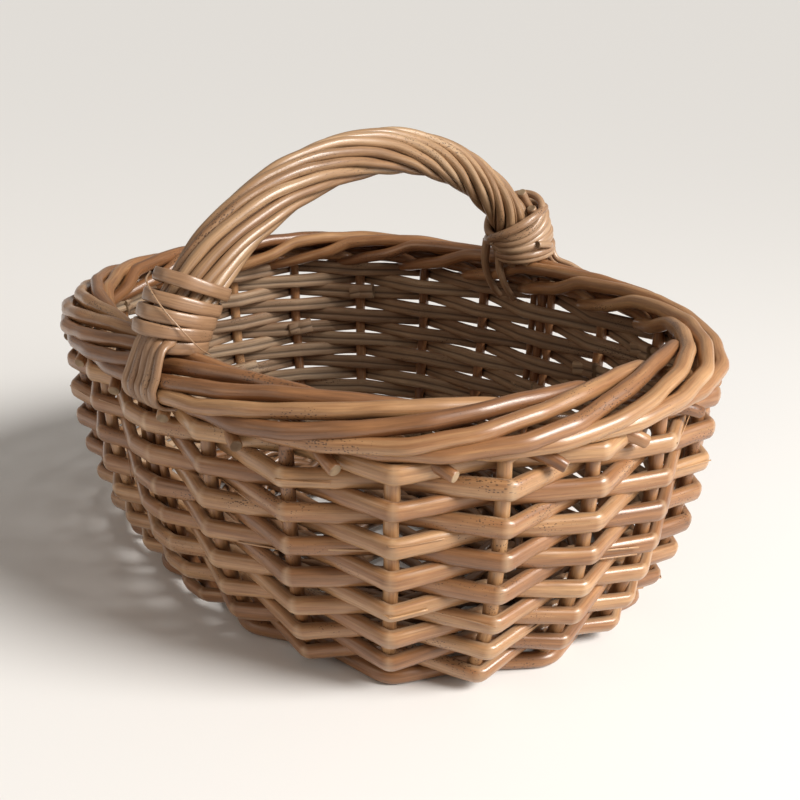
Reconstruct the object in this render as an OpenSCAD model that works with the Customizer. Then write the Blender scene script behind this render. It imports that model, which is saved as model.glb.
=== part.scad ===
// Oval willow egg basket with a roped cross handle.
// The plan is a rounded oval with its long side along X. The handle spans Y.
// Positions round the basket are counted in stake spacings from the stake
// under the handle's -Y foot, going towards +X.

/* [Basket] */
// Overall length of the rim
rim_length = 280; // [260:5:300]
// Overall width of the rim
rim_width = 222; // [205:1:235]
// Height of the top of the rim above the ground
rim_height = 108; // [104:1:120]
// Length of the wall where it meets the ground
foot_length = 232; // [222:1:240]
// Width of the wall where it meets the ground
foot_width = 168; // [160:1:176]
// Squareness of the plan, where 2 is an ellipse
plan_exponent = 2.6; // [2:0.1:2.8]
// How quickly the wall swells out above the ground
wall_swell = 3.2; // [2.6:0.1:3.6]

/* [Wall] */
// Diameter of the upright stakes
stake_d = 5.2; // [4.4:0.1:5.2]
// Diameter of the rods woven round the wall
weaver_d = 5.6; // [4.6:0.1:5.8]
// How much closer the stakes stand at the ends than at the sides
stake_crowding = 0.06; // [0:0.01:0.1]

/* [Base] */
// Diameter of the sticks of the base cross
base_stick_d = 4.4; // [3.8:0.1:4.6]
// Diameter of the rods woven round the base cross
base_rod_d = 3.6; // [3:0.1:3.8]
// Spacing of the lengthwise sticks where they cross
long_stick_gap = 15; // [12:1:16]
// Spacing of the crosswise sticks where they cross
short_stick_gap = 22; // [18:1:22]

/* [Handle] */
// Distance between the middles of the handle's two feet
handle_span = 190; // [184:1:194]
// Height of the middle of the handle above its feet
arch_rise = 59; // [50:1:75]
// Thickness of the handle at its near foot
handle_near_d = 20.6; // [19:0.1:21]
// Thickness of the handle at its far foot
handle_far_d = 16.4; // [15.6:0.1:18]
// How far the handle is turned from the width of the basket, in degrees
handle_turn = 4.2; // [0:0.1:5]
// Diameter of the roped rods at the near foot
rope_rod_d = 3.9; // [3.4:0.1:4]
// Diameter of the roped rods at the far foot
rope_tip_d = 2.8; // [2.6:0.1:3]
// Turns that the roping makes from foot to foot
rope_turns = 1.45; // [0.7:0.05:1.5]
// Diameter of the short liner rods beside each foot
liner_d = 3.4; // [2.8:0.1:3.6]

/* [Binding] */
// Width of the flat skeins wound round the near foot
skein_w = 3.9; // [3.4:0.1:4]
// Thickness of the flat skeins
skein_t = 1; // [0.8:0.1:1.2]
// Diameter of the rods wound round the far foot
wrap_d = 2.9; // [2.4:0.1:3]

/* [Hidden] */
stake_count = 22;
row_count = 14;
base_pair_count = 4;
rope_bunch_count = 4;
rods_per_bunch = 3;
handle_stakes = [0, stake_count / 2];

function numbered(name, count) = [for (i = [1:count]) str(name, "_", i)];

willow = [0.72, 0.52, 0.33];
pale_willow = [0.78, 0.62, 0.42];
dark_willow = [0.6, 0.42, 0.27];
skein_tan = [0.74, 0.58, 0.4];

// ---- Sweeping a section along a path ----

function unit(v) = v / norm(v);
function square_to(v, t) = unit(v - (v * t) * t);
function round_section(d, sides = 6, turn = 0) =
    [for (i = [0:sides - 1]) d / 2 * [cos(360 * i / sides + turn), sin(360 * i / sides + turn)]];
function flat_section(thickness, width) =
    [[-thickness, -width], [thickness, -width], [thickness, width], [-thickness, width]] / 2;

// Direction of the path at each point, halfway between the runs on both sides
function directions(path, closed) =
    let (n = len(path))
    [for (i = [0:n - 1])
        let (
            ahead = closed || i < n - 1 ? unit(path[(i + 1) % n] - path[i]) : [0, 0, 0],
            behind = closed || i > 0 ? unit(path[i] - path[(i + n - 1) % n]) : [0, 0, 0]
        )
        unit(ahead + behind)];

// Section frames: fixed by "up" on a closed loop, carried along on an open rod
function section_ups(dirs, up, closed) =
    closed
    ? [for (t = dirs) square_to(up, t)]
    : [for (i = 0, n = square_to(up, dirs[0]); i < len(dirs);
            i = i + 1, n = i < len(dirs) ? square_to(n, dirs[i]) : n) n];

// end_size is the size of the section at the end of the path as a share of its size at the start
module sweep(path, section, up = [0, 0, 1], closed = false, end_size = 1) {
    rings = len(path);
    sides = len(section);
    dirs = directions(path, closed);
    ups = section_ups(dirs, up, closed);
    points = [
        for (i = [0:rings - 1])
            let (
                across = cross(dirs[i], ups[i]),
                size = 1 + (end_size - 1) * i / (rings - 1)
            )
            for (p = section) path[i] + size * (p[0] * across + p[1] * ups[i])
    ];
    skin = [
        for (i = [0:rings - (closed ? 1 : 2)], j = [0:sides - 1])
            let (a = i * sides, b = (i + 1) % rings * sides, k = (j + 1) % sides)
            [a + j, a + k, b + k, b + j]
    ];
    caps = closed ? [] : [
        [for (j = [sides - 1:-1:0]) j],
        [for (j = [0:sides - 1]) (rings - 1) * sides + j]
    ];
    polyhedron(points, concat(skin, caps));
}

// ---- Plan and wall ----

function plan_point(a, b, angle) =
    let (
        c = cos(angle),
        s = sin(angle),
        r = pow(pow(abs(c) / a, plan_exponent) + pow(abs(s) / b, plan_exponent), -1 / plan_exponent)
    )
    [r * c, r * s];

// Distance round the rim against plan angle
arc_steps = 180;
function arc_point(i) = plan_point(rim_length / 2, rim_width / 2, 360 * i / arc_steps);
arc_table = [
    for (i = 0, s = 0; i <= arc_steps; s = s + norm(arc_point(i + 1) - arc_point(i)), i = i + 1)
        [s, 360 * i / arc_steps]
];
girth = arc_table[arc_steps][0];

// Plan angle of a place counted in stake spacings
function place_angle(t) =
    let (
        f = t / stake_count,
        s = girth * (0.75 + f + stake_crowding * sin(720 * f) / (4 * PI))
    )
    lookup(s - girth * floor(s / girth), arc_table);

function outward(t) =
    let (
        angle = place_angle(t),
        along = plan_point(rim_length, rim_width, angle + 1) - plan_point(rim_length, rim_width, angle - 1)
    )
    unit([along.y, -along.x, 0]);

rim_overhang = 0.6;
stake_inset = weaver_d + stake_d / 2;
function swell_at(z) = 1 - pow(1 - min(z / rim_height, 1), wall_swell);
function wall_half(foot, rim, z) = foot / 2 + (rim / 2 - rim_overhang - foot / 2) * swell_at(z);
function wall_lean(z) = atan((wall_half(foot_width, rim_width, z + 1) - wall_half(foot_width, rim_width, z)));

// Point on the surface that the stakes' axes lie in, or off outside it, square to the wall
function wall_point(t, z, off = 0, lean = true) =
    let (
        angle = lean ? wall_lean(z) : 0,
        out = off * cos(angle) - stake_inset,
        p = plan_point(
            wall_half(foot_length, rim_length, z) + out,
            wall_half(foot_width, rim_width, z) + out,
            place_angle(t)
        )
    )
    [p.x, p.y, z - off * sin(angle)];

// ---- Rim ----

border_ring_r = stake_d * 0.75;
border_d = 2 * border_ring_r + stake_d;
border_z = rim_height - border_d / 2;

function border_point(t, turn, radius = border_ring_r) =
    let (
        p = plan_point((rim_length - border_d) / 2, (rim_width - border_d) / 2, place_angle(t)),
        out = outward(t)
    )
    [p.x, p.y, border_z] + radius * (cos(turn) * out + sin(turn) * [0, 0, 1]);

// ---- Wall parts ----

foot_sides = 8;
foot_z = weaver_d / 2 * cos(180 / foot_sides);
first_row_z = foot_z + 6.6;
last_row_z = border_z - border_d / 2 - weaver_d / 2 - 2.8;
row_pitch = (last_row_z - first_row_z) / (row_count - 1);
weave_reach = (stake_d + weaver_d) / 2 / cos(18);
foot_reach = weave_reach + 1;
handle_stake_spread = 0.18;
stake_bottom_z = 2.2;
stake_top_z = last_row_z + 5;
tail_first = 0.25;
tail_last = 3.65;

function near_handle(i) = len([for (h = handle_stakes) if (h == i) 1]) > 0;

// One closed round, in front of every second stake and behind the others
function round_path(z, parity, reach, lean) = [
    for (i = [0:stake_count - 1])
        let (side = (i + parity) % 2 == 0 ? 1 : -1)
        for (d = near_handle(i) ? [-1, 0, 1] : [0])
            wall_point(i + d * handle_stake_spread, z, side * reach, lean)
];

module weaver_row(j) {
    color(j % 2 == 0 ? willow : pale_willow)
        sweep(
            round_path(first_row_z + j * row_pitch, j, weave_reach, true),
            round_section(weaver_d),
            closed = true
        );
}

module foot_wale() {
    color(dark_willow)
        sweep(
            round_path(foot_z, 1, foot_reach, false),
            round_section(weaver_d, foot_sides, 180 / foot_sides),
            closed = true
        );
}

// A stake rises in the wall and is then laid round the rim as one strand
module stake(i) {
    rise = [for (k = [0:6]) wall_point(i, stake_bottom_z + (stake_top_z - stake_bottom_z) * pow(k / 6, 1.4))];
    tail = [for (q = [tail_first:0.34:tail_last]) border_point(i + q, 90 * (q - 1))];
    color(willow)
        sweep(concat(rise, tail), round_section(stake_d), up = outward(i));
}

// ---- Base ----

base_spokes = 16;
base_inset = 17.5;
base_cross_half = [2 * short_stick_gap + 8, long_stick_gap + 9];
base_z = 8.8;
base_layer = (base_stick_d + 0.2) / 2;
base_weave_reach = (base_stick_d + base_rod_d) / 2 + 0.4;
base_stick_overhang = 3;

function is_long_spoke(k) = abs(sin(180 * k / (base_spokes / 2))) < sin(30);

function spoke_start(k) =
    let (c = cos(22.5 * k), s = sin(22.5 * k))
    is_long_spoke(k)
    ? [sign(c) * base_cross_half.x, long_stick_gap * round(s / sin(22.5)), base_z + base_layer]
    : [short_stick_gap * round(c / sin(22.5)), sign(s) * base_cross_half.y, base_z - base_layer];

function spoke_end(k) =
    let (p = plan_point(foot_length / 2 - base_inset, foot_width / 2 - base_inset, 22.5 * k))
    [p.x, p.y, base_z];

function spoke_tip(k) = spoke_end(k) + base_stick_overhang * unit(spoke_end(k) - spoke_start(k));

module base_stick(k_from, k_to) {
    color(pale_willow)
        sweep(
            [spoke_tip(k_from), spoke_start(k_from), spoke_start(k_to), spoke_tip(k_to)],
            round_section(base_stick_d, 8)
        );
}

function base_round(j) =
    let (f = j / (2 * base_pair_count - 1))
    [for (k = [0:base_spokes - 1])
        spoke_start(k) + f * (spoke_end(k) - spoke_start(k))
            + [0, 0, ((k + j) % 2 == 0 ? 1 : -1) * base_weave_reach]];

// Two rods that pass each other between every two sticks
module base_pairing(p) {
    color(willow)
        for (j = [2 * p, 2 * p + 1])
            sweep(base_round(j), round_section(base_rod_d), closed = true);
}

// ---- Handle, drawn square to the basket and then turned ----

arch_exponent = 1.3;
arch_half_span = handle_span / 2;
arch_foot_z = rim_height - 1.8;
arch_end_angle = 4;
rope_clearance = 0.15;
bow_d = handle_near_d - 2 * rope_rod_d - 2 * rope_clearance;
bow_tip_d = handle_far_d - 2 * rope_tip_d - 2 * rope_clearance;
rope_rod_count = rope_bunch_count * rods_per_bunch;

function arch_point(u) =
    [0, -arch_half_span * cos(u), arch_foot_z + arch_rise * pow(max(sin(u), 0), arch_exponent)];
function arch_direction(u) =
    unit([0, arch_half_span * sin(u), arch_exponent * arch_rise * pow(sin(u), arch_exponent - 1) * cos(u)]);
function arch_angle(f) = arch_end_angle + (180 - 2 * arch_end_angle) * f;
function between(near, far, f) = near + (far - near) * f;
function handle_r(f) = between(handle_near_d, handle_far_d, f) / 2;
function rope_ring_r(f) = handle_r(f) - between(rope_rod_d, rope_tip_d, f) / 2;
// Distance along the handle against the share of its angles
arch_steps = 40;
arch_runs = [
    for (i = 0, s = 0; i <= arch_steps;
            s = s + norm(arch_point(arch_angle((i + 1) / arch_steps)) - arch_point(arch_angle(i / arch_steps))), i = i + 1)
        [i / arch_steps, s]
];
function way(f) = lookup(f, arch_runs) / arch_runs[arch_steps][1];
// Share of the roping's turns made by then, with most of them near the far foot
function turned(f) = 0.48 * way(f) + 0.52 * pow(way(f), 2.8);

module handle_bow() {
    color(dark_willow)
        rotate(handle_turn)
            sweep(
                [for (i = [0:24]) arch_point(arch_angle(i / 24))],
                round_section(bow_d, 8),
                up = [1, 0, 0],
                end_size = bow_tip_d / bow_d
            );
}

function rope_path(k, rings = 30) = [
    for (i = [0:rings])
        let (
            f = i / rings,
            u = arch_angle(f),
            turn = 360 * (k / rope_rod_count + rope_turns * turned(f)),
            side = cross(arch_direction(u), [1, 0, 0])
        )
        arch_point(u) + rope_ring_r(f) * (cos(turn) * [1, 0, 0] + sin(turn) * side)
];

module handle_rope(bunch) {
    color(pale_willow)
        rotate(handle_turn)
            for (k = [0:rods_per_bunch - 1])
                sweep(
                    rope_path(bunch * rods_per_bunch + k),
                    round_section(rope_rod_d),
                    up = [1, 0, 0],
                    end_size = rope_tip_d / rope_rod_d
                );
}

// ---- Binding, drawn at the -Y foot and mirrored for the +Y foot ----

near_r = handle_near_d / 2;
far_r = handle_far_d / 2;
lowest_band_angle = 6.4;
band_angles = [12.8, 17.9, 22.6, 27.3];
band_level = 0.6;
wrap_angles = [8, 12.2, 16, 19.7, 23.3, 26.8];
wrap_level = 0.8;
wrap_roll = 0.25;
loop_points = 16;

// Oval loop round the handle, in a plane that leans between square and level.
// It reaches further out on the side that faces away from the basket.
function loop_path(u, radius, bulge, level, roll = 0) =
    let (
        along = arch_direction(u),
        normal = unit(along + level * [0, 0, 1] + [roll, 0, 0]),
        across = unit(cross([0, 1, 0], normal)),
        deep = cross(normal, across),
        side_reach = radius / norm(across - (across * along) * along),
        deep_reach = (radius + bulge / 2) / norm(deep - (deep * along) * along)
    )
    [for (i = [0:loop_points - 1])
        let (a = 360 * i / loop_points)
        arch_point(u) + side_reach * cos(a) * across + (deep_reach * sin(a) - bulge / 2) * deep];

module loop_round_handle(u, radius, bulge, section, level, roll = 0) {
    sweep(
        loop_path(u, radius, bulge, level, roll),
        section,
        up = unit(arch_direction(u) + level * [0, 0, 1] + [roll, 0, 0]),
        closed = true
    );
}

module near_bands() {
    color(skein_tan)
        rotate(handle_turn) {
            loop_round_handle(
                lowest_band_angle, near_r + skein_t / 2 + 0.3, 0, flat_section(skein_t, skein_w), band_level
            );
            for (u = band_angles)
                loop_round_handle(u, near_r + skein_t / 2 + 0.5, 3, flat_section(skein_t, skein_w), band_level);
        }
}

// Point beside the middle of the border, at an angle up from the side that faces away from the basket
function round_border(x, angle, radius) =
    [x, -(rim_width - border_d) / 2 - radius * cos(angle), border_z + radius * sin(angle)];

// Point on the side of the handle that faces away from the basket
function handle_back(x, u, radius) = arch_point(u) + radius * cross(arch_direction(u), [-1, 0, 0]) + [x, 0, 0];

// From behind the handle's foot, down over the outside of the border and in below it
function tie_path(x, angles, radius, off, last_radius) = concat(
    [for (u = angles) handle_back(x, u, radius)],
    [handle_back(x, 6.5, last_radius)],
    [for (a = [52, 24, -4, -32, -60]) round_border(x, a, border_d / 2 + off)]
);

// From under the far foot, down over the inside of the border
function inner_tie_path(x, off) = [for (a = [142, 163, 184, 205, 222]) round_border(x, a, border_d / 2 + off)];

module near_ties() {
    color(skein_tan)
        rotate(handle_turn)
            for (x = [-6.2, -3.1, 0, 3.1, 6.2])
                sweep(
                    tie_path(x, abs(x) > 4 ? [] : [31, 25, 19, 13.5], near_r + 1.2, 1.2, near_r + 2.8),
                    flat_section(skein_t, 2.7),
                    up = [1, 0, 0]
                );
}

module far_wraps() {
    color(pale_willow)
        rotate(handle_turn)
            mirror([0, 1, 0])
                for (u = wrap_angles)
                    loop_round_handle(
                        u, far_r + wrap_d / 2 + 0.5, 3.2, round_section(wrap_d), wrap_level, wrap_roll
                    );
}

module far_ties() {
    color(pale_willow)
        rotate(handle_turn)
            mirror([0, 1, 0]) {
                for (x = [-2, 2])
                    sweep(
                        tie_path(x, [31, 24, 17, 10.5], far_r + 0.9, 1.3, far_r + 0.9),
                        round_section(skein_t * 1.6),
                        up = [1, 0, 0]
                    );
                for (x = [-12, -6])
                    sweep(inner_tie_path(x, 1.6), round_section(2.4), up = [1, 0, 0]);
            }
}

// Short rods pushed down into the wall on both sides of a handle stake
liner_bottom_z = 34;
module liners(at) {
    for (side = [-1, 1])
        sweep(
            [for (k = [0:4]) wall_point(at + side * 0.17, liner_bottom_z + (stake_top_z - liner_bottom_z) * k / 4)],
            round_section(liner_d),
            up = outward(at)
        );
}

module near_liners() {
    color(dark_willow)
        liners(handle_stakes[0]);
}

module far_liners() {
    color(dark_willow)
        liners(handle_stakes[1]);
}

// ---- Nodes ----

for (m = [-1:1])
    base_stick(8 - m, (m + base_spokes) % base_spokes);
for (m = [-2:2])
    base_stick(12 + m, 4 - m);
for (p = [0:base_pair_count - 1])
    base_pairing(p);
foot_wale();
for (i = [0:stake_count - 1])
    stake(i);
for (j = [0:row_count - 1])
    weaver_row(j);
handle_bow();
for (b = [0:rope_bunch_count - 1])
    handle_rope(b);
near_liners();
far_liners();
near_bands();
near_ties();
far_wraps();
far_ties();
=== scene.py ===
"""Looks of an oval willow egg basket with a roped handle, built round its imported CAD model.

Lengths are in metres. +X runs along the long side, and the handle spans Y.
Places round the basket are counted in stake spacings from the stake under the handle's -Y foot, towards +X.
"""
import math
import random

import bpy
import numpy as np
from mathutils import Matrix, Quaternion, Vector


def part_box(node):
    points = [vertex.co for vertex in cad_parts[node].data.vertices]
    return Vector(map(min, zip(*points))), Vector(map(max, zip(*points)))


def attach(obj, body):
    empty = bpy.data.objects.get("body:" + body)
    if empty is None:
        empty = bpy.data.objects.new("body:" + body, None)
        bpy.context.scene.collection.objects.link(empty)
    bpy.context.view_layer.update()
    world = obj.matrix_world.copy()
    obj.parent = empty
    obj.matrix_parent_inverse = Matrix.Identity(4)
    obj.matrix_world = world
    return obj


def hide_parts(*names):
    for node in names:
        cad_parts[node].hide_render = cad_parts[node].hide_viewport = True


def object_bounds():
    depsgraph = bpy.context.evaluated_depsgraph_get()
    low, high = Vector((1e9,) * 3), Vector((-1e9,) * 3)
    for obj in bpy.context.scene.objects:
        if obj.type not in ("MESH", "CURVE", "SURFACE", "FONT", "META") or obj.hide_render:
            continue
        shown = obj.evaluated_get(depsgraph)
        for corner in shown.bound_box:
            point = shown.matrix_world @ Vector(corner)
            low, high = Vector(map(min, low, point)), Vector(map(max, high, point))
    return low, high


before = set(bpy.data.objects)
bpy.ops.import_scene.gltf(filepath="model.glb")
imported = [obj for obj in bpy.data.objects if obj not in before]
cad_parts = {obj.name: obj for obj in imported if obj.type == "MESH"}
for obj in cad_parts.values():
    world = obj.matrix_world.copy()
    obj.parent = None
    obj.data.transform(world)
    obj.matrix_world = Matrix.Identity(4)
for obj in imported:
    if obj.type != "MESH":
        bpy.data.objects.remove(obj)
cad_low, cad_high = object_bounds()
MM = 0.001
dice = random.Random(11)

# ---- Sizes of the basket ----


def numbered(name):
    """The CAD nodes called name_1, name_2 and so on, in order."""
    found = [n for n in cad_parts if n.rsplit("_", 1)[0] == name and n.rsplit("_", 1)[1].isdigit()]
    return sorted(found, key=lambda n: int(n.rsplit("_", 1)[1]))


STAKES = numbered("stake")
ROWS = numbered("weaver_row")
ROPE_NODES = numbered("handle_rope")
PAIRINGS = numbered("base_pairing")
SPACINGS = len(STAKES)
HANDLE_STAKES = (0, SPACINGS // 2)

stake_corners = [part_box(n) for n in STAKES]
RIM_HALF = np.array([max(high.x for low, high in stake_corners), max(high.y for low, high in stake_corners)])
RIM_TOP = max(high.z for low, high in stake_corners)
FOOT_HALF = np.array(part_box("foot_wale")[1])[:2] - 1 * MM
FOOT_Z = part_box("foot_wale")[1].z / 2
ROW_Z = [sum(c.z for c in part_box(n)) / 2 for n in ROWS]

# Wall. The weavers are split rods, with BARK_SHARE of their depth outside the path that they follow.
PLAN_EXPONENT = 2.6
WALL_SWELL = 3.2
STAKE_CROWDING = 0.06
RIM_OVERHANG = 0.6 * MM
STAKE_R = 2.5 * MM
STAKE_INSET = 8.2 * MM
STAKE_FOOT_Z = 2.2 * MM
FOOT_ROD_R = 3.0 * MM
LINER_R = 1.7 * MM
LINER_SPREAD = 0.146
SPLIT_HEIGHT = 7.0 * MM
SPLIT_DEPTH = 4.4 * MM
BARK_SHARE = 0.62
HANDLE_SPREAD = 0.17

# Border. Its strands wind on an oval with the half axes BORDER_RING, each for BORDER_RUN stake spacings.
BORDER_ROD_R = 2.85 * MM
BORDER_RING = np.array([9.2, 4.2]) * MM
BORDER_TILT = math.radians(25)
BORDER_INSET = 11.3 * MM
BORDER_Z = RIM_TOP - 7.3 * MM
BORDER_START = math.radians(-72)
BORDER_ADVANCE = math.radians(52)
BORDER_LEAD = 0.3
BORDER_RUN = 6

# Handle
HANDLE_TURN = math.radians(4.2)
ARCH_EXPONENT = 1.3
ARCH_HALF_SPAN = RIM_HALF[1] - 16 * MM
ARCH_FOOT_Z = RIM_TOP - 1.8 * MM
ARCH_START = math.radians(4)
NEAR_R = 10.3 * MM
FAR_R = 8.2 * MM
ARCH_RISE = cad_high.z - (NEAR_R + FAR_R) / 2 - ARCH_FOOT_Z
ROPE_TURNS = 1.45


def superellipse(half, angle):
    """Point of the oval with these half axes at a plan angle in radians."""
    c, s = math.cos(angle), math.sin(angle)
    n = PLAN_EXPONENT
    r = (abs(c / half[0]) ** n + abs(s / half[1]) ** n) ** (-1 / n)
    return np.array([r * c, r * s])


def arc_table():
    """Plan angles and the distance round the rim to each."""
    angles = np.linspace(0, 2 * math.pi, 721)
    points = np.array([superellipse(RIM_HALF, a) for a in angles])
    runs = np.linalg.norm(np.diff(points, axis=0), axis=1)
    return angles, np.concatenate([[0], np.cumsum(runs)])


ARC_ANGLES, ARC_LENGTHS = arc_table()
GIRTH = ARC_LENGTHS[-1]


def place_angle(t):
    """Plan angle of a place counted in stake spacings."""
    f = t / SPACINGS
    s = GIRTH * (0.75 + f + STAKE_CROWDING * math.sin(4 * math.pi * f) / (4 * math.pi))
    return np.interp(s % GIRTH, ARC_LENGTHS, ARC_ANGLES)


def outward(t):
    """Level direction square to the rim, away from the basket."""
    a = place_angle(t)
    along = superellipse(RIM_HALF, a + 0.02) - superellipse(RIM_HALF, a - 0.02)
    return unit(np.array([along[1], -along[0], 0]))


def wall_half(z):
    """Half axes of the outside of the wall at a height."""
    swell = 1 - (1 - min(z / RIM_TOP, 1)) ** WALL_SWELL
    return FOOT_HALF + (RIM_HALF - RIM_OVERHANG - FOOT_HALF) * swell


def wall_point(t, z, off=0.0):
    """Point on the surface that the stakes' axes lie in, or off outside it, square to the wall."""
    lean = math.atan((wall_half(z + MM)[1] - wall_half(z)[1]) / MM)
    p = superellipse(wall_half(z) + off * math.cos(lean) - STAKE_INSET, place_angle(t))
    return np.array([p[0], p[1], z - off * math.sin(lean)])


def wall_outs(path, z):
    """Directions square to the wall of a row at this height, at points of the row."""
    half, n = wall_half(z), PLAN_EXPONENT
    lean = math.atan((wall_half(z + MM)[1] - wall_half(z)[1]) / MM)
    level = np.sign(path[:, :2]) * np.abs(path[:, :2] / half) ** (n - 1) / half
    level /= np.linalg.norm(level, axis=1)[:, None]
    return np.column_stack([level * math.cos(lean), np.full(len(path), -math.sin(lean))])


def border_centre(t):
    """Middle of the rolled border, which runs straighter between stakes than the oval does."""
    def on_oval(place):
        p = superellipse(RIM_HALF - BORDER_INSET, place_angle(place))
        return np.array([p[0], p[1], BORDER_Z])
    low = math.floor(t)
    straight = on_oval(low) + (on_oval(low + 1) - on_oval(low)) * (t - low)
    return 0.5 * straight + 0.5 * on_oval(t)


def border_point(t, out, up):
    """Point beside the middle of the border: out from the basket and up."""
    return border_centre(t) + out * outward(t) + np.array([0, 0, up])


def in_border(ring, turn):
    """Out and up from the middle of the border to an oval that leans down at its outer end.

    A turn of 0 is the low outer end and a quarter turn the top.
    """
    p, q = ring[0] * math.cos(turn), ring[1] * math.sin(turn)
    c, f = math.cos(BORDER_TILT), math.sin(BORDER_TILT)
    return p * c + q * f, q * c - p * f


def border_strand_point(t, turn, swell=0.0):
    """Point on the middle of a border strand."""
    return border_point(t, *in_border(BORDER_RING + swell, turn))


def arch_point(u):
    """Point on the handle's middle, at an angle in radians from its -Y end."""
    s = max(math.sin(u), 0.0)
    return np.array([0, -ARCH_HALF_SPAN * math.cos(u), ARCH_FOOT_Z + ARCH_RISE * s ** ARCH_EXPONENT])


def arch_direction(u):
    s = max(math.sin(u), 1e-3)
    rise = ARCH_EXPONENT * ARCH_RISE * s ** (ARCH_EXPONENT - 1) * math.cos(u)
    return unit(np.array([0, ARCH_HALF_SPAN * math.sin(u), rise]))


# ---- Rod geometry ----


def unit(v):
    return v / np.linalg.norm(v)


def square_to(v, direction):
    return unit(v - (v @ direction) * direction)


def smoothstep(x):
    x = np.clip(x, 0, 1)
    return x * x * (3 - 2 * x)


PATH_STEP = 3.5 * MM


def bent(points, bend):
    """A path through straight runs with a short round bend at each inner point."""
    points = np.array(points, float)
    out = [points[0]]
    for before, corner, after in zip(points, points[1:], points[2:]):
        reach_in = min(bend, 0.45 * np.linalg.norm(corner - before))
        reach_out = min(bend, 0.45 * np.linalg.norm(after - corner))
        start = corner - unit(corner - before) * reach_in
        end = corner + unit(after - corner) * reach_out
        for f in (0, 0.25, 0.5, 0.75, 1):
            out.append((1 - f) ** 2 * start + 2 * f * (1 - f) * corner + f * f * end)
    out.append(points[-1])
    dense = [out[0]]
    for a, b in zip(out, out[1:]):
        cuts = max(1, int(np.linalg.norm(b - a) / PATH_STEP))
        dense += [a + (b - a) * k / cuts for k in range(1, cuts + 1)]
    return np.array(dense)


def smooth(points, cuts=6):
    """A Catmull-Rom curve through the points."""
    p = np.array(points, float)
    p = np.vstack([2 * p[0] - p[1], p, 2 * p[-1] - p[-2]])
    out = []
    for a, b, c, d in zip(p, p[1:], p[2:], p[3:]):
        for k in range(cuts):
            f = k / cuts
            square, cube = 2 * a - 5 * b + 4 * c - d, 3 * b - a - 3 * c + d
            out.append(0.5 * (2 * b + (c - a) * f + square * f ** 2 + cube * f ** 3))
    out.append(p[-2])
    return np.array(out)


def lengths_along(path):
    return np.concatenate([[0], np.cumsum(np.linalg.norm(np.diff(path, axis=0), axis=1))])


def path_frames(path, up):
    """Direction, side and top at each point, carried along the path without twist."""
    ahead = np.gradient(path, axis=0)
    dirs = ahead / np.linalg.norm(ahead, axis=1)[:, None]
    tops = [square_to(np.array(up, float), dirs[0])]
    for d in dirs[1:]:
        tops.append(square_to(tops[-1], d))
    tops = np.array(tops)
    return dirs, np.cross(dirs, tops), tops


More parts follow.
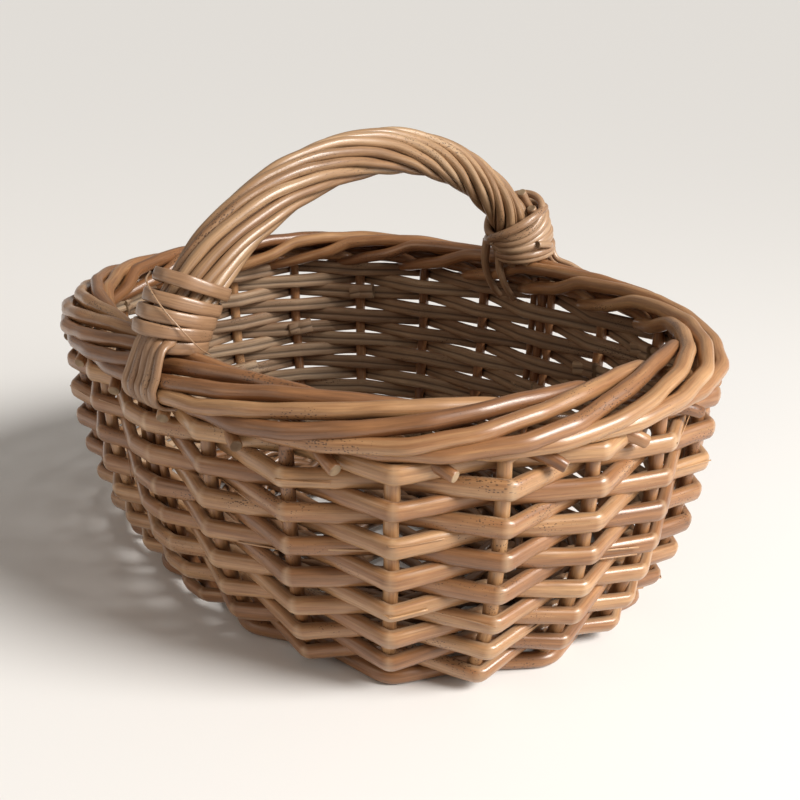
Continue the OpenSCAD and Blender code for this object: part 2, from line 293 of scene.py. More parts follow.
class Wicker:
    """Collects rods and strips, and turns them into one mesh piece."""

    def __init__(self):
        self.points, self.faces, self.grain = [], [], []
        self.tone, self.wear, self.cut, self.pith = [], [], [], []

    def rod(self, path, radius, up=(0, 0, 1), sides=14, tone=None, rough=1.0, flat=1.0):
        """A round rod. radius is one number or one for each point of the path."""
        n = len(path)
        radius = np.broadcast_to(radius, n) * 1.0
        s = lengths_along(path)
        phase = [dice.uniform(0, 2 * math.pi) for _ in range(6)]
        radius *= 1 + rough * (0.025 * np.sin(s * 190 + phase[0]) + 0.02 * np.sin(s * 430 + phase[1]))
        sway = [np.sin(s * 160 + phase[2]), np.sin(s * 205 + phase[3]), np.sin(s * 240 + phase[4])]
        path = path + rough * 0.12 * MM * np.stack(sway, axis=1)
        dirs, across, tops = path_frames(path, up)
        angles = np.arange(sides) * 2 * math.pi / sides
        lumps = 1 + 0.03 * rough * np.cos(2 * angles[None] + phase[5] + 25 * s[:, None])
        x = radius[:, None] * lumps * np.cos(angles)[None] * flat
        y = radius[:, None] * lumps * np.sin(angles)[None] * (2 - flat)
        rings = path[:, None] + x[..., None] * across[:, None] + y[..., None] * tops[:, None]
        self._skin(rings, s, x, y, tone, dirs, radius * 0.18)

    def split(self, path, outs, height, depth, tone, wear):
        """A split rod, with a round bark side that faces outs and a flat side with the pith groove."""
        angles = np.radians((-82, -62, -38, -13, 13, 38, 62, 82))
        bark = [(BARK_SHARE * math.cos(a) ** 0.7, math.sin(a)) for a in angles]
        half = [(-0.2, 0.95), (-0.38, 0.72), (-0.38, 0.26)]
        flat = half + [(-0.2, 0)] + [(x, -y) for x, y in reversed(half)]
        section = np.array(bark + flat)
        # A pith of 2 marks the groove, which the material darkens as painted shade.
        pith = np.array([0] * len(bark) + [0.7, 1, 1, 2, 1, 1, 0.7], float)
        n = len(path)
        s = lengths_along(path)
        phase = [dice.uniform(0, 2 * math.pi) for _ in range(4)]
        lumps = 1 + 0.035 * np.sin(s * 150 + phase[0]) + 0.02 * np.sin(s * 390 + phase[1])
        path = path + 0.15 * MM * np.stack([0 * s, 0 * s, np.sin(s * 120 + phase[2])], axis=1)
        ahead = np.gradient(path, axis=0)
        dirs = ahead / np.linalg.norm(ahead, axis=1)[:, None]
        faces_out = np.array([square_to(o, d) for o, d in zip(outs, dirs)])
        tops = np.cross(faces_out, dirs)
        x = section[None, :, 0] * (depth * lumps)[:, None]
        y = section[None, :, 1] * (height * lumps)[:, None] / 2
        rings = path[:, None] + x[..., None] * faces_out[:, None] + y[..., None] * tops[:, None]
        self._skin(rings, s, x, y, tone, dirs, np.full(n, 0.2 * MM), wear, pith)

    def strip(self, path, width, thickness, up, tone=None, crown=0.25):
        """A flat skein with rounded edges and a crowned face that looks up, given once or for each point."""
        section = []
        for k in range(12):
            a = 2 * math.pi * (k + 0.5) / 12
            c, q = math.cos(a), math.sin(a)
            section.append((math.copysign(abs(c) ** 0.45, c), math.copysign(abs(q) ** 0.6, q)))
        section = np.array(section)
        n = len(path)
        width = np.broadcast_to(width, n)
        s = lengths_along(path)
        ups = np.broadcast_to(np.array(up, float), (n, 3))
        ahead = np.gradient(path, axis=0)
        dirs = ahead / np.linalg.norm(ahead, axis=1)[:, None]
        faces_up = np.array([square_to(u, d) for u, d in zip(ups, dirs)])
        across = np.cross(dirs, faces_up)
        bow = crown * thickness * (1 - section[:, 0] ** 2)
        wobble = 1 + 0.05 * np.sin(s * 260 + dice.uniform(0, 6))
        x = section[None, :, 0] * (width * wobble)[:, None] / 2
        y = np.repeat(section[None, :, 1] * thickness / 2 + bow[None], n, axis=0)
        rings = path[:, None] + x[..., None] * across[:, None] + y[..., None] * faces_up[:, None]
        self._skin(rings, s, x, y, tone, dirs, np.full(n, 0.15 * thickness))

    def _skin(self, rings, s, x, y, tone, dirs, tip, wear=None, pith=None):
        """Faces round the rings, with a rounded cap at both ends. x and y place each point in its section."""
        n, sides = rings.shape[:2]
        first = sum(len(p) for p in self.points)
        seed = dice.uniform(0, 40)
        tone = dice.random() if tone is None else tone
        wear = np.zeros(n) if wear is None else wear
        caps = [rings[k].mean(0) + (rings[k] - rings[k].mean(0)) * 0.84 + side * dirs[k] * tip[k]
                for k, side in ((0, -1), (-1, 1))]
        points = np.concatenate([caps[0], rings.reshape(-1, 3), caps[1]])
        total = n + 2
        index = first + np.arange(total * sides).reshape(total, sides)
        right = np.roll(index, -1, axis=1)
        quads = np.stack([index[:-1], right[:-1], right[1:], index[1:]], axis=-1).reshape(-1, 4)
        self.faces += quads.tolist()
        self.faces += [index[0][::-1].tolist(), index[-1].tolist()]
        self.points.append(points)
        s_all = np.concatenate([[s[0]], s, [s[-1]]])
        x_all = np.concatenate([x[:1] * 0.72, x, x[-1:] * 0.72])
        y_all = np.concatenate([y[:1] * 0.72, y, y[-1:] * 0.72])
        along = np.repeat(s_all + seed, sides)
        self.grain.append(np.stack([along, x_all.ravel() + seed, y_all.ravel() + 2 * seed], axis=1))
        self.tone.append(np.full(total * sides, tone))
        wear_and_highlight_all = np.concatenate([[wear[0]], wear, [wear[-1]]])
        self.wear.append(np.repeat(wear_and_highlight_all, sides))
        cut = np.zeros(total)
        cut[[0, -1]] = 1
        self.cut.append(np.repeat(cut, sides))
        self.pith.append(np.tile(np.zeros(sides) if pith is None else pith, total))

    def build(self, name, node, material):
        """Makes the piece, which stands for the CAD node."""
        mesh = bpy.data.meshes.new(name)
        mesh.from_pydata(np.concatenate(self.points).tolist(), [], self.faces)
        for label, data in (("tone", self.tone), ("wear", self.wear), ("cut", self.cut), ("pith", self.pith)):
            mesh.attributes.new(label, "FLOAT", "POINT").data.foreach_set("value", np.concatenate(data))
        vectors = mesh.attributes.new("grain", "FLOAT_VECTOR", "POINT").data
        vectors.foreach_set("vector", np.concatenate(self.grain).ravel())
        mesh.polygons.foreach_set("use_smooth", [len(f) == 4 for f in self.faces])
        mesh.materials.append(material)
        mesh.validate()
        mesh.update()
        piece = bpy.data.objects.new(name, mesh)
        bpy.context.scene.collection.objects.link(piece)
        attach(piece, "root")
        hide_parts(node)


# ---- Willow material ----


class Nodes:
    """Short way to add and join shader nodes."""

    def __init__(self, tree):
        self.tree = tree

    def add(self, kind, settings=(), **inputs):
        """A node with these settings. An input is given by its name, or as i0, i1 and so on."""
        node = self.tree.nodes.new(kind)
        for key, value in dict(settings).items():
            setattr(node, key, value)
        for key, value in inputs.items():
            socket = int(key[1:]) if key[0] == "i" and key[1:].isdigit() else key.replace("_", " ")
            self.put(node.inputs[socket], value)
        return node

    def put(self, socket, value):
        if isinstance(value, bpy.types.NodeSocket):
            self.tree.links.new(value, socket)
        else:
            socket.default_value = value

    def math(self, operation, a, b=0.0, clamp=False):
        return self.add("ShaderNodeMath", {"operation": operation, "use_clamp": clamp}, i0=a, i1=b).outputs[0]

    def mix(self, blend, factor, a, b):
        node = self.add("ShaderNodeMix", {"data_type": "RGBA", "blend_type": blend})
        self.put(node.inputs[0], factor)
        self.put(node.inputs[6], a)
        self.put(node.inputs[7], b)
        return node.outputs[2]

    def ramp(self, value, *stops):
        node = self.add("ShaderNodeValToRGB")
        ramp = node.color_ramp
        for place, colour in stops[2:]:
            ramp.elements.new(place)
        for element, (place, colour) in zip(ramp.elements, stops):
            element.position = place
            element.color = (*colour, 1)
        self.put(node.inputs[0], value)
        return node.outputs[0]

    def ranged(self, value, low, high, new_low=0.0, new_high=1.0):
        node = self.add("ShaderNodeMapRange", {"clamp": True})
        for k, v in enumerate((value, low, high, new_low, new_high)):
            self.put(node.inputs[k], v)
        return node.outputs[0]

    def noise(self, vector, detail, rough=0.55):
        node = self.add("ShaderNodeTexNoise", Vector=vector, Scale=1.0, Detail=detail, Roughness=rough)
        return node.outputs["Fac"]

    def scattered(self, vector):
        """Distance to the nearest of many scattered points."""
        node = self.add("ShaderNodeTexVoronoi", {"feature": "F1"}, Vector=vector, Scale=1.0, Randomness=1.0)
        return node.outputs["Distance"]


PITH = ((0.2, 0.12, 0.07), (0.34, 0.235, 0.15), (0.47, 0.36, 0.25))
# Painted shade for the middle of the pith groove.
GROOVE_SHADE = (0.06, 0.03, 0.015, 1)
SPECK = (0.045, 0.02, 0.01, 1)
# Pale colour painted on the bark at the bends: partly rubbed bark, partly a painted highlight.
WORN_AND_HIGHLIGHT = (0.6, 0.43, 0.27, 1)
END_GRAIN = ((0.16, 0.095, 0.05, 1), (0.4, 0.29, 0.18, 1))


def willow(name, dark, middle, light, roughness=0.4, coat=0.5):
    """Varnished buff willow: long grain, blotches, dark specks and scars, and pale cut ends."""
    material = bpy.data.materials.new(name)
    material.use_nodes = True
    n = Nodes(material.node_tree)
    shader = material.node_tree.nodes["Principled BSDF"]
    grain = n.add("ShaderNodeAttribute", {"attribute_name": "grain"}).outputs["Vector"]
    tone, wear, cut, pith = (
        n.add("ShaderNodeAttribute", {"attribute_name": label}).outputs["Fac"]
        for label in ("tone", "wear", "cut", "pith"))

    def stretched(along, around):
        return n.add("ShaderNodeMapping", Vector=grain, Scale=(along, around, around)).outputs[0]

    fibres = n.noise(stretched(70, 1500), 4.0, 0.6)
    streaks = n.noise(stretched(16, 420), 3.0, 0.6)
    blotches = n.noise(stretched(45, 130), 4.0, 0.62)
    rings = n.noise(stretched(420, 160), 3.0, 0.5)

    # Colour of the bark side and of the flat inside, with painted shade in its groove
    mood = n.math("ADD", n.math("MULTIPLY", tone, 0.46), n.math("MULTIPLY", blotches, 0.42))
    mood = n.math("ADD", mood, n.math("MULTIPLY", n.math("SUBTRACT", streaks, 0.5), 0.8))
    colour = n.ramp(mood, (0.0, dark), (0.43, middle), (0.86, light))
    inside = n.ramp(mood, (0.03, PITH[0]), (0.43, PITH[1]), (0.83, PITH[2]))
    colour = n.mix("MIX", n.math("MULTIPLY", pith, 0.8, clamp=True), colour, inside)
    # Painted shade: the groove in the middle of the flat side is darkened.
    colour = n.mix("MIX", n.ranged(pith, 1.1, 1.9, 0.0, 0.7), colour, GROOVE_SHADE)
    shade = n.ranged(fibres, 0.3, 0.72, 0.74, 1.14)
    shade = n.add("ShaderNodeCombineColor", i0=shade, i1=shade, i2=shade).outputs[0]
    colour = n.mix("MULTIPLY", 1.0, colour, shade)

    # Specks and scars, pale rubbed bark with a painted highlight on the bends, and the cut ends
    speck_size = n.ranged(n.noise(stretched(30, 90), 1.0), 0.5, 0.72, 0.0, 0.34)
    speck = n.math("LESS_THAN", n.scattered(stretched(800, 1400)), speck_size)
    scar = n.ranged(n.scattered(stretched(130, 520)), 0.03, 0.07, 1.0, 0.0)
    dots = n.math("MAXIMUM", n.math("MULTIPLY", speck, 0.75), n.math("MULTIPLY", scar, 0.42))
    colour = n.mix("MIX", dots, colour, SPECK)
    # Painted highlight: the bark side is lightened at the bends, partly as rubbed bark.
    worn_and_highlight = n.math("MULTIPLY", n.math("SUBTRACT", wear, pith, clamp=True), 0.5)
    colour = n.mix("MIX", worn_and_highlight, colour, WORN_AND_HIGHLIGHT)
    colour = n.mix("MIX", cut, colour, n.mix("MIX", n.ranged(rings, 0.35, 0.65), *END_GRAIN))
    n.put(shader.inputs["Base Color"], colour)

    gloss = n.ranged(blotches, 0.35, 0.7, roughness + 0.1, roughness - 0.1)
    bare = n.math("MAXIMUM", cut, pith, clamp=True)
    gloss = n.math("ADD", gloss, n.math("MULTIPLY", bare, 0.3), clamp=True)
    n.put(shader.inputs["Roughness"], gloss)
    if coat:
        varnish = n.math("MULTIPLY", n.math("SUBTRACT", 1.0, bare, clamp=True), coat)
        n.put(shader.inputs["Coat Weight"], varnish)
        shader.inputs["Coat Roughness"].default_value = 0.2
    shader.inputs["Specular IOR Level"].default_value = 0.45

    height = n.math("ADD", n.math("MULTIPLY", fibres, 0.5), n.math("MULTIPLY", streaks, 0.8))
    height = n.math("SUBTRACT", height, n.math("MULTIPLY", dots, 0.5))
    relief = n.add("ShaderNodeBump", Strength=0.5, Distance=0.35 * MM, Height=height)
    n.put(shader.inputs["Normal"], relief.outputs[0])
    return material


DARK = (0.13, 0.048, 0.017)
MIDDLE = (0.31, 0.143, 0.058)
LIGHT = (0.54, 0.32, 0.155)
PALE = (0.54, 0.375, 0.225)
wall_willow = willow("weaver_willow", DARK, MIDDLE, LIGHT)
stake_willow = willow("stake_willow", DARK, MIDDLE, LIGHT)
base_willow = willow("base_willow", (0.09, 0.038, 0.016), (0.2, 0.1, 0.046), (0.34, 0.2, 0.11))
rope_willow = willow("rope_willow", (0.19, 0.09, 0.04), (0.37, 0.22, 0.115), PALE)
bow_willow = willow("bow_willow", DARK, (0.26, 0.14, 0.07), (0.36, 0.22, 0.12), roughness=0.6, coat=0.0)
skein_willow = willow("skein_willow", (0.2, 0.1, 0.05), (0.34, 0.195, 0.105), (0.5, 0.34, 0.21),
                      roughness=0.45)

# ---- Base ----

BASE_Z = sum(c.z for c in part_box(PAIRINGS[-1])) / 2
BASE_SPOKES = 16
SPOKE_STEP = 2 * math.pi / BASE_SPOKES
ROUNDS_PER_PAIRING = 3
BASE_INSET = 17.5 * MM
LONG_GAP = 15 * MM
SHORT_GAP = 22 * MM
BASE_STICK_R = 2.25 * MM
BASE_ROD_R = 1.8 * MM
BASE_LAYER = 2.3 * MM
BASE_REACH = BASE_STICK_R + BASE_ROD_R + 0.3 * MM
CROSS_HALF = np.array([2 * SHORT_GAP + 8 * MM, LONG_GAP + 9 * MM])


def spoke_start(k):
    """Where a stick of the base leaves the cross, in sixteenths of a turn from +X."""
    c, s = math.cos(SPOKE_STEP * k), math.sin(SPOKE_STEP * k)
    step = math.sin(SPOKE_STEP)
    if abs(s) < 0.5:
        return np.array([math.copysign(CROSS_HALF[0], c), LONG_GAP * round(s / step), BASE_Z + BASE_LAYER])
    return np.array([SHORT_GAP * round(c / step), math.copysign(CROSS_HALF[1], s), BASE_Z - BASE_LAYER])


def spoke_end(k):
    p = superellipse(FOOT_HALF - BASE_INSET, SPOKE_STEP * k)
    return np.array([p[0], p[1], BASE_Z])


def base_stick(node, k_from, k_to):
    wicker = Wicker()
    points = []
    for k, order in ((k_from, 1), (k_to, -1)):
        tip = spoke_end(k) + 3 * MM * unit(spoke_end(k) - spoke_start(k))
        points += [tip, spoke_start(k)][::order]
    wicker.rod(bent(points, 14 * MM), BASE_STICK_R, tone=dice.uniform(0.4, 0.9))
    wicker.build(node + "_stick", node, base_willow)


def base_pairing(index, node):
    """Rounds of thin rods, each over one stick and under the next."""
    wicker = Wicker()
    total = ROUNDS_PER_PAIRING * len(PAIRINGS)
    for r in range(ROUNDS_PER_PAIRING):
        j = index * ROUNDS_PER_PAIRING + r
        f = j / (total - 1)
        points = []
        for k in range(BASE_SPOKES + 1):
            side = 1 if (k + j) % 2 == 0 else -1
            spot = spoke_start(k) + f * (spoke_end(k) - spoke_start(k))
            points.append(spot + np.array([0, 0, side * BASE_REACH + dice.uniform(-0.3, 0.3) * MM]))
        tone = dice.random()
        path = bent(points, 5 * MM)
        wicker.rod(path, BASE_ROD_R * np.linspace(1.06, 0.9, len(path)), sides=10, tone=tone)
    wicker.build(node + "_rods", node, base_willow)


for m in (-1, 0, 1):
    base_stick(f"base_long_stick_{m + 2}", 8 - m, m % BASE_SPOKES)
for m in range(-2, 3):
    base_stick(f"base_short_stick_{m + 3}", 12 + m, 4 - m)
for index, node in enumerate(PAIRINGS):
    base_pairing(index, node)

# ---- Wall ----


def crossing_points(first, last, z, parity, reach_out, reach_in, level=False):
    """Places where a weaver passes the stakes from first to last, outside every other one.

    It bends twice at a handle stake, on both sides of the liners there.
    """
    points = []
    for i in range(first, last + 1):
        reach = reach_out if (i + parity) % 2 == 0 else -reach_in
        at_handle = i % SPACINGS in HANDLE_STAKES
        rise = 0 if level else dice.uniform(-0.4, 0.4) * MM
        for d in ((-1, 1) if at_handle else (0,)):
            t = i + d * HANDLE_SPREAD + dice.uniform(-0.012, 0.012)
            points.append(wall_point(t, z + rise, reach))
    return points


def nearness(path, places, width):
    """1 on the path where it passes one of the places, falling to 0 at width from it."""
    gap = np.min(np.linalg.norm(path[:, None] - np.array(places)[None], axis=2), axis=1)
    return 1 - smoothstep(gap / width)


def weave_rod(wicker, first, last, z, parity):
    """One split rod of a round, from behind one stake to behind another, with its bark side out."""
    reach_out = STAKE_R + (1 - BARK_SHARE) * SPLIT_DEPTH + 0.2 * MM
    reach_in = STAKE_R + BARK_SHARE * SPLIT_DEPTH + 0.2 * MM
    kinks = crossing_points(first, last, z, parity, reach_out, reach_in)
    points = [wall_point(first - 0.2, z + 0.9 * MM, -reach_in - 0.8 * MM), *kinks,
              wall_point(last + 0.17, z - 0.9 * MM, -reach_in - 0.8 * MM)]
    path = bent(points, 1.4 * MM)
    kink = nearness(path, kinks, 1.3 * MM)
    s = lengths_along(path)
    taper = np.interp(s / s[-1], [0, 1], [1.04, 0.9])
    tone = dice.random()
    outs = wall_outs(path, z)
    height = SPLIT_HEIGHT * taper * (1 + 0.06 * kink)
    depth = SPLIT_DEPTH * taper * (1 - 0.1 * kink)
    # The bends get a pale painted highlight, partly rubbed bark, through this mask.
    wicker.split(path, outs, height, depth, tone=tone, wear=kink * dice.uniform(0.5, 1.0))
    for _ in range(2):
        k = dice.randrange(12, len(path) - 20)
        rise = dice.uniform(-0.3, 0.4) * SPLIT_HEIGHT
        sliver = [path[k + m] + outs[k + m] * (BARK_SHARE * SPLIT_DEPTH + lift * MM) + np.array([0, 0, rise])
                  for m, lift in ((0, -0.3), (2, 0.0), (5, 0.5), (8, dice.uniform(0.6, 1.6)))]
        wicker.strip(smooth(sliver, 4), dice.uniform(0.4, 0.9) * MM, 0.3 * MM, outs[k], tone=0.95)


def weaver_row(j, node):
    """One round of two split rods, whose joins move on from round to round."""
    wicker = Wicker()
    start = (7 * j + 3) % SPACINGS
    start += (start + j + 1) % 2
    half = SPACINGS // 2 + (1 if j % 3 else -1)
    half += half % 2
    weave_rod(wicker, start, start + half, ROW_Z[j], j)
    weave_rod(wicker, start + half, start + SPACINGS, ROW_Z[j], j)
    wicker.build(node + "_rods", node, wall_willow)


def foot_wale():
    """The level bottom round that the basket stands on."""
    wicker = Wicker()
    reach = STAKE_R + FOOT_ROD_R + 0.3 * MM
    points = crossing_points(0, SPACINGS, FOOT_Z, 1, reach, reach, level=True)
    for p in points:
        p[2] = FOOT_ROD_R
    path = bent(points[1:-1], 5 * MM)
    wicker.rod(path, FOOT_ROD_R * 0.97, tone=0.35, rough=0.3)
    wicker.build("foot_wale_rod", "foot_wale", wall_willow)


def stake(i, node):
    """A stake rises in the wall, winds once round the border, and ends outside below it."""
    wicker = Wicker()
    top = ROW_Z[-1] + 3 * MM
    rise = [wall_point(i, STAKE_FOOT_Z + (top - STAKE_FOOT_Z) * (k / 7) ** 1.3) for k in range(8)]
    tail = []
    for step in range(9):
        run = 0.6 * step + (dice.uniform(-0.06, 0.06) if step else 0)
        turn = BORDER_START + BORDER_ADVANCE * run + dice.uniform(-0.07, 0.07)
        tail.append(border_strand_point(i + BORDER_LEAD + run, turn, dice.uniform(-0.2, 0.2) * MM))
    end = i + BORDER_RUN
    tip = end + dice.uniform(0.5, 0.6)
    tail += [
        border_point(end - 0.5, -9.2 * MM, -1.6 * MM),
        border_point(end - 0.12, -6.6 * MM, -4.4 * MM),
        border_point(end + 0.2, -2.0 * MM, -7.8 * MM),
        border_point(end + 0.43, 4.8 * MM, -10.2 * MM),
        border_point(tip, 8.0 * MM, -12.4 * MM + dice.uniform(-0.8, 0.8) * MM),
    ]
    path = np.vstack([smooth(rise, 4)[:-2], bent([rise[-1] - np.array([0, 0, MM])] + tail, 3.5 * MM)])
    s = lengths_along(path)
    risen = lengths_along(np.array(rise))[-1]
    radius = np.interp(s, [0, risen, risen + 20 * MM, s[-1] - 30 * MM, s[-1]],
                       [STAKE_R, STAKE_R, BORDER_ROD_R, BORDER_ROD_R, BORDER_ROD_R * 0.78])
    wicker.rod(path, radius, up=outward(i), tone=dice.random())
    wicker.build(node + "_rod", node, stake_willow)


for index, node in enumerate(ROWS):
    weaver_row(index, node)
foot_wale()
for index, node in enumerate(STAKES):
    stake(index, node)


def liners(node, at):
    """Short rods pushed down into the wall on both sides of a handle stake."""
    wicker = Wicker()
    for side in (-1, 1):
        points = [wall_point(at + side * LINER_SPREAD, z * MM) for z in range(34, 99, 16)]
        wicker.rod(smooth(points), LINER_R, up=outward(at), tone=dice.uniform(0.2, 0.6))
    wicker.build(node + "_rods", node, stake_willow)


liners("near_liners", HANDLE_STAKES[0])
liners("far_liners", HANDLE_STAKES[1])

# ---- Handle, worked out square to the basket and then turned ----


def turned(path):
    """The path as the handle stands on the rim, a little askew."""
    c, q = math.cos(HANDLE_TURN), math.sin(HANDLE_TURN)
    x, y, z = np.moveaxis(np.asarray(path, float), -1, 0)
    return np.stack([c * x - q * y, q * x + c * y, z], axis=-1)


def arch_angle(f):
    """Angle along the handle at a share of the way from its near foot."""
    return ARCH_START + (math.pi - 2 * ARCH_START) * f


ARCH_RUNS = lengths_along(np.array([arch_point(arch_angle(k / 200)) for k in range(201)]))


def way(f):
    """Share of the handle's length at a share of its angles."""
    return np.interp(f * 200, range(201), ARCH_RUNS) / ARCH_RUNS[-1]


def handle_r(w):
    """Radius of the roped handle at a share of its length. It is thickest at the near foot."""
    return np.interp(w, [0, 0.85, 0.95, 1], [NEAR_R, FAR_R, FAR_R + 0.9 * MM, FAR_R + 1.5 * MM])


def on_handle(u, turn, radius):
    """Point at a distance from the handle's middle. A turn of 0 faces +X and a quarter turn the palm."""
    side = np.cross(arch_direction(u), [1, 0, 0])
    return arch_point(u) + radius * (math.cos(turn) * np.array([1, 0, 0]) + math.sin(turn) * side)


bow = Wicker()
bow_path = turned([arch_point(arch_angle(k / 70)) for k in range(71)])
bow.rod(bow_path, np.linspace(NEAR_R - 3.6 * MM, FAR_R - 3 * MM, 71), up=(1, 0, 0), tone=0.3)
bow.build("handle_bow_rod", "handle_bow", bow_willow)

RODS_PER_BUNCH = 3
ROPE_RODS = RODS_PER_BUNCH * len(ROPE_NODES)
ROPE_STEPS = 120
NEVER = 9.0  # a share of the handle's length past its end
rope_ends = {k: dice.uniform(0.5, 0.72) for k in (1, 4, 8, 10)}
rope_widths = [dice.uniform(0.92, 1.1) for _ in range(ROPE_RODS)]


def rope_paths():
    """Rods wound round the bow, nearly straight at the near foot and twisting more towards the far foot.

    Some run out on the way, and the others close up over them.
    """
    paths = [[] for _ in range(ROPE_RODS)]
    radii = [[] for _ in range(ROPE_RODS)]
    for i in range(ROPE_STEPS + 1):
        f = i / ROPE_STEPS
        w, u = way(f), arch_angle(f)
        run_out = [smoothstep((w - rope_ends.get(k, NEVER)) / 0.16) for k in range(ROPE_RODS)]
        shares = np.array(rope_widths) * (1 - 0.8 * np.array(run_out))
        twist = ROPE_TURNS * (0.48 * w + 0.52 * w ** 2.8)
        lean = 0.97 - 0.08 * w
        ring_r = handle_r(w) / (1 + math.pi * lean / shares.sum())
        rod_r = math.pi * lean * ring_r / shares.sum()
        middles = (np.cumsum(shares) - shares / 2) / shares.sum()
        for k in range(ROPE_RODS):
            turn = 2 * math.pi * (middles[k] + twist) + 0.03 * math.sin(9 * w + 5 * k)
            r = rod_r * shares[k]
            wander = 0.2 * MM * math.sin(13 * w + 3 * k)
            paths[k].append(on_handle(u, turn, ring_r + (rod_r - r) * 0.5 + wander))
            radii[k].append(r * 1.01)
    return [turned(p) for p in paths], radii


paths, radii = rope_paths()
for bunch, node in enumerate(ROPE_NODES):
    wicker = Wicker()
    for k in range(bunch * RODS_PER_BUNCH, (bunch + 1) * RODS_PER_BUNCH):
        wicker.rod(paths[k], radii[k], up=(1, 0, 0), tone=dice.random())
    wicker.build(node + "_rods", node, rope_willow)

# ---- Binding, worked out at the -Y foot and mirrored for the +Y foot ----


BAND_WIDTH = 4.8 * MM
SKEIN_T = 1.15 * MM
TIE_SPACING = 4.1 * MM
HAIR_R = 0.34 * MM
WRAP_R = 1.75 * MM
LOOP_POINTS = 61


def mirrored(path):
    return np.asarray(path, float) * np.array([1, -1, 1])


def loop(u, radius, bulge, level, roll=0.0, drift=0.0, wave=0.0):
    """An oval turn round the handle, in a plane that leans between square to it and level.

    It reaches further out by the bulge on the side that faces away from the basket.
    """
    path, faces = [], []
    for k in range(LOOP_POINTS):
        f = k / (LOOP_POINTS - 1)
        turn = 2 * math.pi * f + math.pi * 0.6
        at = u + drift * (f - 0.5)
        along = arch_direction(at)
        normal = unit(along + np.array([roll, 0, level]))
        across = unit(np.cross([0, 1, 0], normal))
        deep = np.cross(normal, across)
        lumpy = radius + wave * math.cos(9 * turn)
        side_reach = lumpy / np.linalg.norm(across - (across @ along) * along)
        deep_reach = (lumpy + bulge / 2) / np.linalg.norm(deep - (deep @ along) * along)
        swing = side_reach * math.cos(turn) * across + (deep_reach * math.sin(turn) - bulge / 2) * deep
        path.append(arch_point(at) + swing)
        faces.append(swing)
    return np.array(path), np.array(faces)


def handle_back(x, u, radius):
    """Point behind the handle's foot, on the side that faces away from the basket."""
    return on_handle(u, -math.pi / 2, radius) + np.array([x, 0, 0])


def round_border(x, degrees, off):
    """Point off the surface of the border, at an angle up from its low outer end."""
    out, up = in_border(BORDER_RING + BORDER_ROD_R + off, math.radians(degrees))
    return np.array([x, -(RIM_HALF[1] - BORDER_INSET) - out, BORDER_Z + up])


def border_face(degrees):
    """Direction that the surface of the border faces there."""
    out, up = in_border(1 / (BORDER_RING + BORDER_ROD_R), math.radians(degrees))
    return unit(np.array([0, -out, up]))


def near_bands():
    """Flat skeins wound round the foot of the handle, and a loose hair across them."""
    wicker = Wicker()
    bands = ((6.4, 0, 0.9), (12.2, 3.6, 1.5), (17, 3.6, 1.5), (21.6, 3.4, 1.4), (27.6, 3, 1.4))
    for angle, bulge, lift in bands:
        path, faces = loop(math.radians(angle), NEAR_R + lift * MM, bulge * MM, 0.55,
                           drift=math.radians(0.7), wave=0.18 * MM)
        width = BAND_WIDTH * dice.uniform(0.94, 1.06)
        wicker.strip(turned(path), width, SKEIN_T, turned(faces), tone=dice.uniform(0.0, 0.4))
    hair = [on_handle(math.radians(u), math.radians(turn), NEAR_R + lift * MM)
            for u, turn, lift in ((25, -122, 5.6), (22, -98, 6.9), (17.5, -64, 6.2),
                                  (12.5, -28, 4.9), (7.5, 2, 4.2), (3.5, 24, 4.6))]
    hair = smooth(hair, 8)
    wicker.rod(turned(hair), HAIR_R * np.linspace(1.2, 0.6, len(hair)), sides=6, tone=0.95)
    wicker.build("near_bands_skeins", "near_bands", skein_willow)


def near_ties():
    """Flat strips from behind the handle's foot, down over the border and off to the side below it.

    Two of them start higher up, under the bands.
    """
    high_start = ((21, 1.1, 4.2), (15, 1.1, 4.2), (10, 1.3, 4.2))
    low_start = ((11.5, 0.9, 2.6), (8.5, 1.1, 3))
    over_border = ((48, 3.3, 0), (24, 3.3, 0), (0, 3.3, 0.2), (-20, 3.2, 0.8), (-40, 3.0, 2.6), (-60, 2.8, 6),
                   (-80, 2.6, 10))
    wicker = Wicker()
    for k in range(5):
        x = (k - 2) * TIE_SPACING
        points, faces = [], []
        for u, lift, shift in high_start if k in (1, 2) else low_start:
            turn = -math.pi / 2 + (0.7 * x + shift * MM) / NEAR_R
            points.append(on_handle(math.radians(u), turn, NEAR_R + lift * MM))
            faces.append(points[-1] - arch_point(math.radians(u)))
        lift = (2.3 - 0.2 * abs(k - 1.6)) * MM
        points.append(handle_back(0.84 * x + 3.5 * MM, math.radians(4.5), NEAR_R + lift))
        faces.append(np.array([0.1, -1, 0.35]))
        for a, shift, slide in over_border:
            pinch = 0.98 - 0.3 * smoothstep((10 - a) / 80)
            across = x * pinch + (shift + slide * (0.45 + 0.16 * k)) * MM
            points.append(round_border(across, a, (1.0 + 0.3 * (k % 2)) * MM))
            faces.append(border_face(a))
        path = smooth(points, 5)
        last = len(faces) - 1
        spread = np.linspace(0, last, len(path))
        faces = np.array([unit(f) for f in faces])
        ups = np.stack([np.interp(spread, range(last + 1), faces[:, c]) for c in range(3)], axis=1)
        width = np.interp(spread, [0, last - 7, last - 3, last], [3.7, 3.9, 4.1, 2.4]) * MM
        wicker.strip(turned(path), width, SKEIN_T * 1.2, turned(ups), tone=dice.uniform(0.0, 0.5), crown=0.6)
    wicker.build("near_ties_skeins", "near_ties", skein_willow)


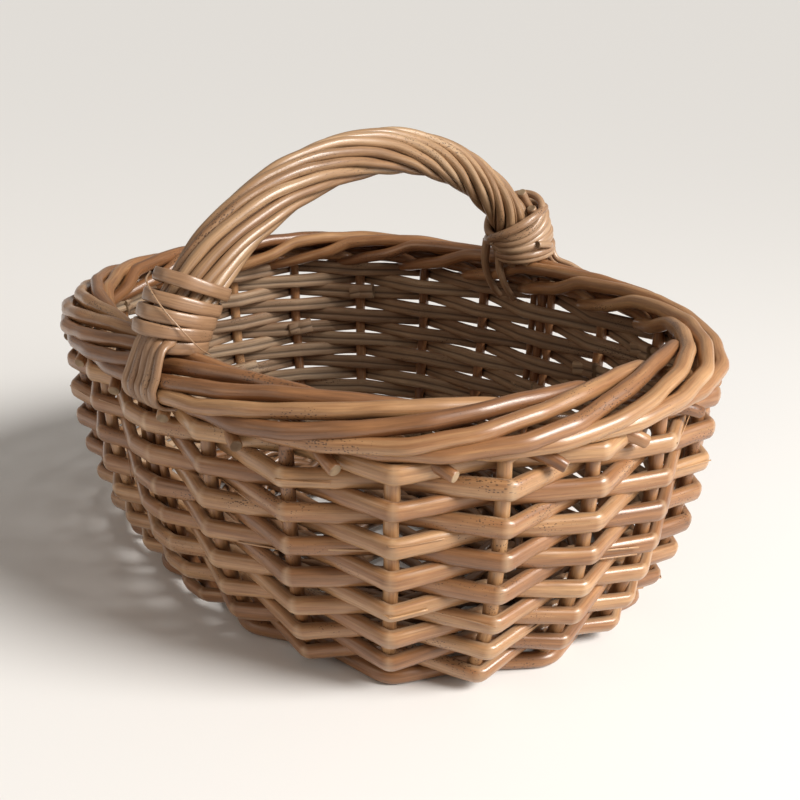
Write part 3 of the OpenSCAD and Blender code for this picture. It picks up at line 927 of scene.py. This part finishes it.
def far_wraps():
    """Round rods wound round the far foot, the last one slanting over the others."""
    wicker = Wicker()
    turns = ((7.5, 1.5, 0.05, 0), (10.5, 1.35, 0.1, 0.4), (13.5, 1.1, -0.1, 0), (16.6, 0.7, 0.15, 0.5),
             (19.8, 0.3, 0.25, 0), (23, 0.05, 0.2, 0.6), (26.2, -0.1, 0.25, 0), (23.5, 0.9, -0.75, 1.6))
    for angle, level, roll, lift in turns:
        path, faces = loop(math.radians(angle), FAR_R + (2.6 + lift) * MM, 5.5 * MM, level, roll,
                           drift=math.radians(dice.uniform(0.8, 1.8)))
        radius = WRAP_R * dice.uniform(0.94, 1.06)
        wicker.rod(turned(mirrored(path)), radius, tone=dice.uniform(0.35, 0.95), flat=0.94)
    wicker.build("far_wraps_rods", "far_wraps", skein_willow)


def far_ties():
    """Rods inside the border, over its top and along it, and the stub ends round the foot."""
    wicker = Wicker()

    def foot_rod(points, radius, cuts=5, **settings):
        path = smooth(points, cuts)
        wicker.rod(turned(mirrored(path)), np.linspace(*radius, len(path)), **settings)

    inner_side = ((25, 8, 1.5), (25.4, 3, 1), (25, -3, 0.4), (23, -9, 0.8), (20, -15, 1.8), (16.5, -20, 3.2))
    for x in (-15, -6.5):
        points = [np.array([(x + lean) * MM, -RIM_HALF[1] + depth * MM, RIM_TOP + z * MM])
                  for depth, z, lean in inner_side]
        foot_rod(points, (2.1 * MM, 1.4 * MM), up=(1, 0, 0), tone=dice.uniform(0.75, 0.95))
    for x, top in ((3, 18), (7, 14)):
        points = [handle_back(0.7 * x * MM, math.radians(u), FAR_R + 1.2 * MM) for u in (top, 12, 7)]
        points += [round_border((x + 0.06 * (70 - a)) * MM, a, 1.2 * MM) for a in (58, 36, 14, -10, -36)]
        foot_rod(points, (1.3 * MM, 1.3 * MM), up=(1, 0, 0), tone=dice.uniform(0.4, 0.9))
    points = [on_handle(math.radians(u), math.radians(turn), FAR_R + lift * MM)
              for u, turn, lift in ((17, 10, 5), (12, -20, 5.4), (8, -45, 5.6))]
    points += [round_border(x * MM, a, lift * MM)
               for x, a, lift in ((12, 84, 1.7), (18, 66, 1.3), (24, 44, 1.1), (29, 18, 0.9), (32, -8, -0.6))]
    foot_rod(points, (1.575 * MM, 1.05 * MM), cuts=6, tone=0.9)
    for turn, top in ((-150, 28), (-118, 33), (-92, 29), (-66, 32.5), (-38, 28)):
        points = [on_handle(math.radians(u), math.radians(turn), FAR_R + 1.9 * MM)
                  for u in (8, 16, 24, top - 4, top)]
        points[-1] += 0.3 * (points[-1] - on_handle(math.radians(top), math.radians(turn), FAR_R))
        foot_rod(points, (2.0 * MM, 2.0 * MM), up=(1, 0, 0), tone=dice.uniform(0.1, 0.6))
    wicker.build("far_ties_rods", "far_ties", skein_willow)


near_bands()
near_ties()
far_wraps()
far_ties()

# ---- Floor, light and camera ----


def floor():
    mesh = bpy.data.meshes.new("floor")
    corners = [(x * 60.0, y * 60.0, 0) for x, y in ((-1, -1), (1, -1), (1, 1), (-1, 1))]
    mesh.from_pydata(corners, [], [(0, 1, 2, 3)])
    piece = bpy.data.objects.new("floor", mesh)
    bpy.context.scene.collection.objects.link(piece)
    material = bpy.data.materials.new("pale_floor")
    material.use_nodes = True
    shader = material.node_tree.nodes["Principled BSDF"]
    shader.inputs["Base Color"].default_value = (0.8, 0.8, 0.795, 1)
    shader.inputs["Roughness"].default_value = 0.85
    shader.inputs["Specular IOR Level"].default_value = 0.1
    mesh.materials.append(material)


def lamp(name, kind, place, aim, power, colour, **settings):
    light = bpy.data.lights.new(name, kind)
    light.energy = power
    light.color = colour
    for key, value in settings.items():
        setattr(light, key, value)
    holder = bpy.data.objects.new(name, light)
    bpy.context.scene.collection.objects.link(holder)
    holder.location = place
    holder.rotation_mode = "QUATERNION"
    holder.rotation_quaternion = (Vector(place) - Vector(aim)).to_track_quat("Z", "Y")


def camera(azimuth, elevation, roll, distance, target, lens, shift):
    """Azimuth 0 looks along +Y and 90 along -X."""
    data = bpy.data.cameras.new("camera")
    data.sensor_width = 36
    data.lens = lens
    data.shift_x, data.shift_y = shift
    data.clip_start = 0.01
    cam = bpy.data.objects.new("camera", data)
    bpy.context.scene.collection.objects.link(cam)
    a, e = math.radians(azimuth), math.radians(elevation)
    back = Vector((math.sin(a) * math.cos(e), -math.cos(a) * math.cos(e), math.sin(e)))
    cam.location = Vector(target) + back * distance
    cam.rotation_mode = "QUATERNION"
    cam.rotation_quaternion = back.to_track_quat("Z", "Y") @ Quaternion((0, 0, 1), math.radians(roll))
    bpy.context.scene.camera = cam


floor()
MIDDLE_OF_BASKET = (0, 0, 0.07)
DAYLIGHT = (1.0, 0.965, 0.92)
BOUNCED = (1.0, 0.82, 0.66)
lamp("window", "SUN", (0.85, 0.42, 0.82), MIDDLE_OF_BASKET, 3.6, DAYLIGHT, angle=math.radians(24))
lamp("panel", "AREA", (0.6, 0.22, 0.36), MIDDLE_OF_BASKET, 2.4, DAYLIGHT, shape="DISK", size=0.35)
lamp("fill", "AREA", (-0.3, -1.2, 0.7), MIDDLE_OF_BASKET, 2.0, BOUNCED, shape="DISK", size=0.8)
world = bpy.data.worlds.new("studio")
world.use_nodes = True
world.node_tree.nodes["Background"].inputs["Color"].default_value = (1.0, 0.94, 0.87, 1)
world.node_tree.nodes["Background"].inputs["Strength"].default_value = 0.26
bpy.context.scene.world = world
bpy.context.scene.view_settings.view_transform = "Standard"
camera(azimuth=51.4, elevation=20.3, roll=-0.44, distance=0.4622, target=(-0.0041, -0.0031, 0.0653),
       lens=49.986, shift=(0.050125, -0.006625))
